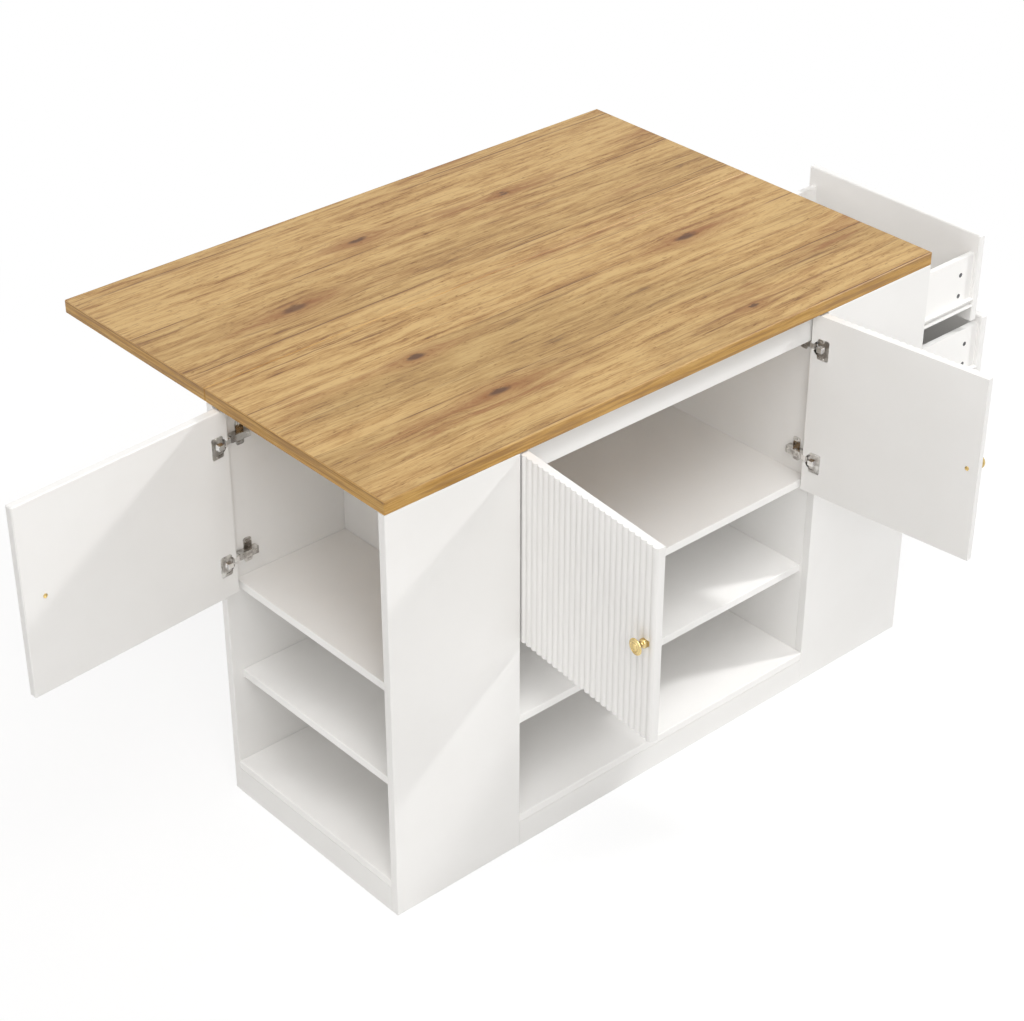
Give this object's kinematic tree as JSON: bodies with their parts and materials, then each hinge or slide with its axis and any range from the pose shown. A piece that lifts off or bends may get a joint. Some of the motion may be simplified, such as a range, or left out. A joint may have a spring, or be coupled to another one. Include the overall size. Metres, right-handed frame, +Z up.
{
  "type": "folding kitchen island",
  "caption": "White kitchen island with a wood worktop, a folding drop leaf, fluted front doors, a side door, open shelves and end drawers.",
  "frame": {"origin": "on the floor under the centre of the cabinet's footprint", "axes": "+X along the island towards the drawer end, +Y towards the drop leaf, +Z up"},
  "size_m": [2.1113, 1.3416, 0.91],
  "materials": {
    "oak_top": "golden oak grain, satin",
    "white_board": "white painted board, satin",
    "brass": "polished",
    "nickel_steel": "bright nickel plate",
    "zinc_steel": "zinc plate",
    "bracket_steel": "white powder coat",
    "runner_steel": "white powder coat",
    "cam_metal": "dark zinc"
  },
  "bodies": {
    "cabinet": {"back_left_panel": "white_board", "back_right_panel": "white_board", "base_stringer": "white_board", "centre_back_panel": "white_board", "centre_bottom_board": "white_board", "centre_mid_shelf": "white_board", "centre_top_rail": "white_board", "centre_upper_shelf": "white_board", "drawer_channels": "runner_steel", "fixed_top": "oak_top", "front_kickboard": "white_board", "front_left_panel": "white_board", "front_right_panel": "white_board", "leaf_hinge_fixed_flaps": "zinc_steel", "leaf_hinge_pins": "zinc_steel", "left_bottom_board": "white_board", "left_divider": "white_board", "left_door_hinge_arms": "nickel_steel", "left_kickboard": "white_board", "left_mid_shelf": "white_board", "left_upper_shelf": "white_board", "right_bottom_board": "white_board", "right_divider": "white_board", "right_door_hinge_arms": "nickel_steel", "right_kickboard": "white_board", "right_mid_shelf": "white_board", "right_upper_shelf": "white_board", "side_door_hinge_arms": "nickel_steel", "strut_wall_brackets": "bracket_steel"},
    "leaf": {"leaf_board": "oak_top", "leaf_bracket_arms": "bracket_steel", "leaf_hinge_moving_flaps": "zinc_steel"},
    "left_strut": {"left_strut": "bracket_steel"},
    "right_strut": {"right_strut": "bracket_steel"},
    "side_door": {"side_door_cups": "nickel_steel", "side_door_knob": "brass", "side_door_panel": "white_board"},
    "left_door": {"left_door_cups": "nickel_steel", "left_door_knob": "brass", "left_door_panel": "white_board"},
    "right_door": {"right_door_cups": "nickel_steel", "right_door_knob": "brass", "right_door_panel": "white_board"},
    "top_drawer": {"top_drawer_back": "white_board", "top_drawer_bottom": "white_board", "top_drawer_cams": "cam_metal", "top_drawer_far_side": "white_board", "top_drawer_front": "white_board", "top_drawer_knob": "brass", "top_drawer_near_side": "white_board", "top_drawer_runners": "runner_steel"},
    "lower_drawer": {"lower_drawer_back": "white_board", "lower_drawer_bottom": "white_board", "lower_drawer_cams": "cam_metal", "lower_drawer_far_side": "white_board", "lower_drawer_front": "white_board", "lower_drawer_knob": "brass", "lower_drawer_near_side": "white_board", "lower_drawer_runners": "runner_steel"}
  },
  "joints": [
    {"name": "leaf_fold", "type": "hinge", "parent": "cabinet", "child": "leaf", "pos_m": [0, 0.2565, 0.8788], "axis": [1, 0, 0], "range_deg": [-90, 0]},
    {"name": "left_strut_swing", "type": "hinge", "parent": "cabinet", "child": "left_strut", "pos_m": [-0.3165, 0.2445, 0.6968], "axis": [1, 0, 0], "range_deg": [-133.5, 0]},
    {"name": "right_strut_swing", "type": "hinge", "parent": "cabinet", "child": "right_strut", "pos_m": [0.3165, 0.2445, 0.6968], "axis": [1, 0, 0], "range_deg": [-133.5, 0]},
    {"name": "side_door_swing", "type": "hinge", "parent": "cabinet", "child": "side_door", "pos_m": [-0.692, 0.225, 0.6805], "axis": [0, 0, -1], "range_deg": [-86, 14]},
    {"name": "left_door_swing", "type": "hinge", "parent": "cabinet", "child": "left_door", "pos_m": [-0.384, -0.244, 0.6805], "axis": [0, 0, -1], "range_deg": [-95.4, 4.6]},
    {"name": "right_door_swing", "type": "hinge", "parent": "cabinet", "child": "right_door", "pos_m": [0.384, -0.244, 0.6805], "axis": [0, 0, 1], "range_deg": [-96.5, 3.5]},
    {"name": "top_drawer_slide", "type": "slide", "parent": "cabinet", "child": "top_drawer", "axis": [1, 0, 0], "range_m": [-0.198, 0.045]},
    {"name": "lower_drawer_slide", "type": "slide", "parent": "cabinet", "child": "lower_drawer", "axis": [1, 0, 0], "range_m": [-0.238, 0.005]}
  ],
  "couplings": [
    {"joint": "left_strut_swing", "follows": "leaf_fold", "ratio": 1.4818},
    {"joint": "right_strut_swing", "follows": "leaf_fold", "ratio": 1.4818}
  ]
}
